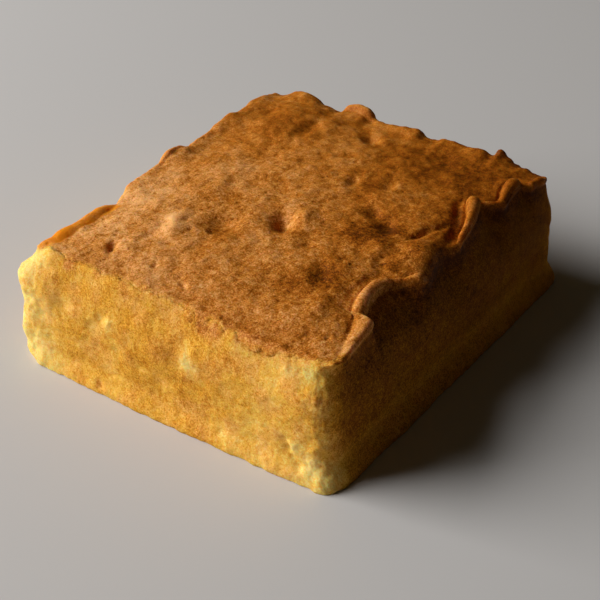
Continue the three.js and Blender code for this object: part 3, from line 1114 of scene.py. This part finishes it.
def finishPoint(v, layers, x, y, q, weights, isCrust):
    # paints one point of the skin, and gives how far relief, lips and edges move it
    p = v.co.copy()
    form, colour = crustShares(p, x, y, q, weights)
    lipOut, lipUp, lipCrestLight = lipMove(x, y, q, weights)
    coarse = ofSides(weights, "coarse") if weights else 0.0
    rough = relief(p, form, coarse)
    out = rough
    sideBakeAndShading = 0.0
    pale = 0.0
    brown = crustBakeAndShading(p, rough) - lipCrestLight
    if weights:
        pale, stain, dent = patched(p)
        torn = nearCorner(x, y, -1, skinShape["tornReach"])
        blotches = skinShape["tornBlotch"] * smooth(0.2 + 2.2 * fine(p, 8, 4.8))
        pale = max(pale, torn * (skinShape["tornPale"] - blotches))
        worn = max(pale, nearCorner(x, y, 1, skinShape["wornReach"]))
        out += worn * (1 - form) * lumps(p, "torn") - dent
        sideBakeAndShading = sideSkin(p, y, q, weights) + bakeSetting["crumbHollows"] * coarse * rough
        sideBakeAndShading += bakeSetting["crumbMottle"] * coarse * fine(p, 8, 3.7)
        sideBakeAndShading *= 1 - bakeSetting["pale"] * pale
        sideBakeAndShading += bakeSetting["stain"] * stain - 0.08 * pale
        colour = max(colour, smooth(1.2 * stain))
        brown += bakeSetting["frontRim"] * weights["front"] * bell((q - 4) / 2.5)
        # painted shade on the crust down the right side, away from the light
        brown += bakeSetting["shadeBelowRightRim"] * weights["right"] * smooth(-q / 2.5)
    # each piece dives under the other where it ends, and both meet in between
    if isCrust:
        if weights:
            out += ofSides(weights, "proud") * (1 - smooth(q / skinShape["proudWidth"])) * form
        out -= skinShape["crustDive"] * smooth(1 - 2 * form)
    else:
        under = smooth(2 * form - 1)
        lipOut *= 1 - under
        lipUp *= 1 - under
        foot = 1 - smooth(p.z / skinShape["footHeight"])
        foot *= skinShape["footWorn"] + skinShape["footRagged"] * fine(p, 4, 6.6)
        out -= skinShape["crumbDive"] * under + foot
    v[layers["bakeAndShading"]] = sideBakeAndShading + (brown - sideBakeAndShading) * colour
    toasted = bakeSetting["toasted"] * smooth(0.4 + 1.5 * fine(p, 9, 15.5)) * (1 - pale)
    v[layers["crust"]] = toasted + (1 - toasted) * colour
    v[layers["paintedGlow"]] = min(paintedGlowAt(p, q, weights), 1)
    v[layers["cracked"]] = marked(crackedPatches, p.x, p.y) * colour
    return v.normal * (out + lipOut) + Vector((0, 0, lipUp))


# the browned crust: the whole top, its lip, and a few millimetres down the sides

crustPiece = {
    "columns": 240,
    "rows": 280,
    "edgeStep": 0.25,  # the mesh is this fine at the rim
    "edgeSpread": 9,
    "skirtRows": 22,
    "skirtDepth": 14,
    "skirtCrowd": 1.5,  # the skirt's rows stand closer at the rim
    "coreHeight": 38,
    "coreShare": (0.95, 0.955),
}


def crowd(t, half, count, setting):
    # rows from the edge inwards, fine at the edge and even further in
    finest = setting["edgeStep"]
    spread = setting["edgeSpread"]

    def easing(k):
        return spread * (1 - math.exp(-k / spread))

    total = count / 2
    step = (half - finest * easing(total)) / (total - easing(total))
    k = (1 - abs(t)) * total
    return math.copysign(half - (k * step - (step - finest) * easing(k)), t)


def makeCrust(setting):
    bm = bmesh.new()
    bmesh.ops.create_grid(bm, x_segments=setting["columns"], y_segments=setting["rows"], size=1)
    edge = [e for e in bm.edges if e.is_boundary]
    lastRow = setting["skirtRows"] + 1
    for _ in range(lastRow):
        made = bmesh.ops.extrude_edge_only(bm, edges=edge)["geom"]
        points = [v for v in made if isinstance(v, bmesh.types.BMVert)]
        bmesh.ops.translate(bm, verts=points, vec=(0, 0, -1))
        edge = [e for e in made if isinstance(e, bmesh.types.BMEdge) and e.is_boundary]
    bmesh.ops.edgeloop_fill(bm, edges=edge)
    bmesh.ops.recalc_face_normals(bm, faces=bm.faces)
    layers = {label: bm.verts.layers.float.new(label) for label in painted}
    shown = []
    for v in bm.verts:
        x = crowd(v.co.x, halfX, setting["columns"], setting)
        y = crowd(v.co.y, halfY, setting["rows"], setting)
        x, y = roundPlan(x, y)
        row = round(-v.co.z)
        top = crustHeight(x, y)
        if row == lastRow:
            # the underside is flat and lies hidden in the crumb
            shareX, shareY = setting["coreShare"]
            v.co = onCake(x * shareX, y * shareY, top, setting["skirtDepth"])
            v.co.z = setting["coreHeight"]
            continue
        below = setting["skirtDepth"] * (row / setting["skirtRows"]) ** setting["skirtCrowd"]
        v.co = onCake(x, y, top, below)
        if row:
            q = skinWay(x, y, top, below, v.co)
        else:
            q = min(gapAndPlace(side, x, y)[0] for side in sideShape)
        shown.append((v, x, y, q, sideWeights(x, y)))
    bm.normal_update()
    moves = [(v, finishPoint(v, layers, x, y, q, weights, True)) for v, x, y, q, weights in shown]
    for v, move in moves:
        v.co += move
    return bm


# the crumb: the four sides, the underside, and a strip under the crust's edge

crumbPiece = {
    "around": 1000,
    "closeness": {"right": 1.1, "back": 0.8, "left": 0.8, "front": 1.3},
    "wallRows": 80,
    "topRows": 9,
    "topStep": 0.75,
    "topInside": 46,  # how high the strip's inner edge lies, hidden in the crust
    "baseShare": (0.97, 0.975),
    "baseBake": 0.5,
}


def squareWalk(share, closeness):
    # a walk round the square-cornered plan, with more steps on the sides that need them
    legs = (
        ("right", 2 * halfY, (halfX, -halfY), (0, 1)),
        ("back", 2 * halfX, (halfX, halfY), (-1, 0)),
        ("left", 2 * halfY, (-halfX, halfY), (0, -1)),
        ("front", 2 * halfX, (-halfX, -halfY), (1, 0)),
    )
    share *= sum(length * closeness[side] for side, length, _, _ in legs)
    for side, length, start, along in legs:
        steps = length * closeness[side]
        if share <= steps:
            way = share / closeness[side]
            return start[0] + along[0] * way, start[1] + along[1] * way
        share -= steps
    return halfX, -halfY


def makeCrumb(setting):
    bm = bmesh.new()
    wallRows = setting["wallRows"]
    lastRow = wallRows + setting["topRows"] + 2
    bmesh.ops.create_cone(bm, cap_ends=True, segments=setting["around"], radius1=1, radius2=1, depth=1)
    bmesh.ops.translate(bm, verts=bm.verts, vec=(0, 0, 0.5))
    uprights = [e for e in bm.edges if abs(e.verts[0].co.z - e.verts[1].co.z) > 0.5]
    bmesh.ops.subdivide_edges(bm, edges=uprights, cuts=lastRow - 1, use_grid_fill=True)
    layers = {label: bm.verts.layers.float.new(label) for label in painted}
    shown = []
    for v in bm.verts:
        row = round(v.co.z * lastRow)
        x, y = squareWalk(math.atan2(v.co.y, v.co.x) / math.tau % 1, setting["closeness"])
        gap = max(row - 1 - wallRows, 0) * setting["topStep"]
        planX, planY = roundPlan(x, y)
        planX *= 1 - gap / halfX
        planY *= 1 - gap / halfY
        top = crustHeight(planX, planY)
        if row == 0:
            shareX, shareY = setting["baseShare"]
            v.co = onCake(planX * shareX, planY * shareY, top, top)
            v[layers["bakeAndShading"]] = setting["baseBake"]
            continue
        if row == lastRow:
            v.co = onCake(planX, planY, top, 0)
            v.co.z = setting["topInside"]
            continue
        below = 0 if gap else top * (1 - (row - 1) / wallRows)
        v.co = onCake(planX, planY, top, below)
        q = gap if gap else skinWay(planX, planY, top, below, v.co)
        shown.append((v, planX, planY, q, sideWeights(planX, planY)))
    bm.normal_update()
    moves = [(v, finishPoint(v, layers, x, y, q, weights, False)) for v, x, y, q, weights in shown]
    for v, move in moves:
        v.co += move
        v.co.z = max(v.co.z, 0)
    return bm


bakedCrumb = bakedMaterial("bakedCrumb", finishSetting)
print("material ready")
addToScene(makeCrust(crustPiece), "crust", bakedCrumb)
addToScene(makeCrumb(crumbPiece), "crumb", bakedCrumb)
